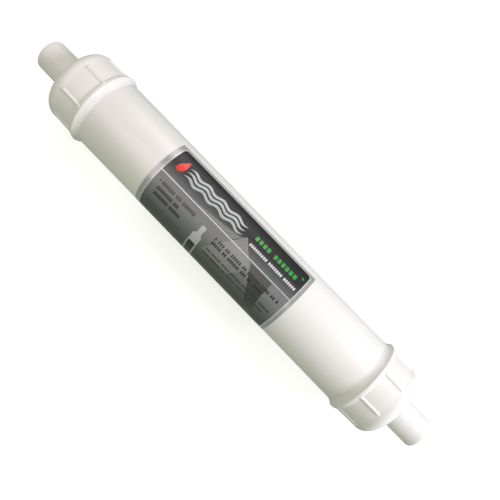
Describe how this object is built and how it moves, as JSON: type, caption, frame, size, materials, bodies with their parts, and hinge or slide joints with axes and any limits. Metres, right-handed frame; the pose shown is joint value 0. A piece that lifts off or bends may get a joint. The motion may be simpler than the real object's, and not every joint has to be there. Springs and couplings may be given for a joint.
{
  "type": "inline water filter",
  "caption": "Inline carbon water filter: a straight plastic tube with a ribbed, domed cap and a push-fit hose port at each end.",
  "frame": {"origin": "centre of the filter, on the tube's axis, midway between the two port mouths", "axes": "+X along the tube towards the outlet port, +Z out of the middle of the printed label, +Y completes a right-handed frame"},
  "size_m": [0.344, 0.0546, 0.0546],
  "materials": {
    "white_plastic": "satin white moulded plastic",
    "natural_plastic": "uncoloured moulded plastic",
    "acetal": "white acetal",
    "stainless_steel": "stamped stainless sheet",
    "seal_rubber": "black seal rubber",
    "felt": "white non-woven felt",
    "carbon": "black granular activated carbon",
    "label_film": "satin printed film, silver border round a charcoal panel"
  },
  "bodies": {
    "housing": {"housing_tube": "white_plastic", "product_label": "label_film", "carbon_bed": "carbon", "inlet_cap": "white_plastic", "inlet_collet_retainer": "natural_plastic", "inlet_spacer_ring": "natural_plastic", "inlet_port_o_ring": "seal_rubber", "inlet_perforated_plate": "natural_plastic", "inlet_felt_pad": "felt", "inlet_filter_cloth": "felt", "outlet_cap": "white_plastic", "outlet_collet_retainer": "natural_plastic", "outlet_spacer_ring": "natural_plastic", "outlet_port_o_ring": "seal_rubber", "outlet_perforated_plate": "natural_plastic", "outlet_felt_pad": "felt", "outlet_filter_cloth": "felt"},
    "inlet_collet": {"inlet_collet": "acetal", "inlet_grip_ring": "stainless_steel"},
    "outlet_collet": {"outlet_collet": "acetal", "outlet_grip_ring": "stainless_steel"}
  },
  "joints": [
    {"name": "inlet_collet_press", "type": "slide", "parent": "housing", "child": "inlet_collet", "axis": [1, 0, 0], "range_m": [0, 0.0015]},
    {"name": "outlet_collet_press", "type": "slide", "parent": "housing", "child": "outlet_collet", "axis": [-1, 0, 0], "range_m": [0, 0.0015]}
  ]
}
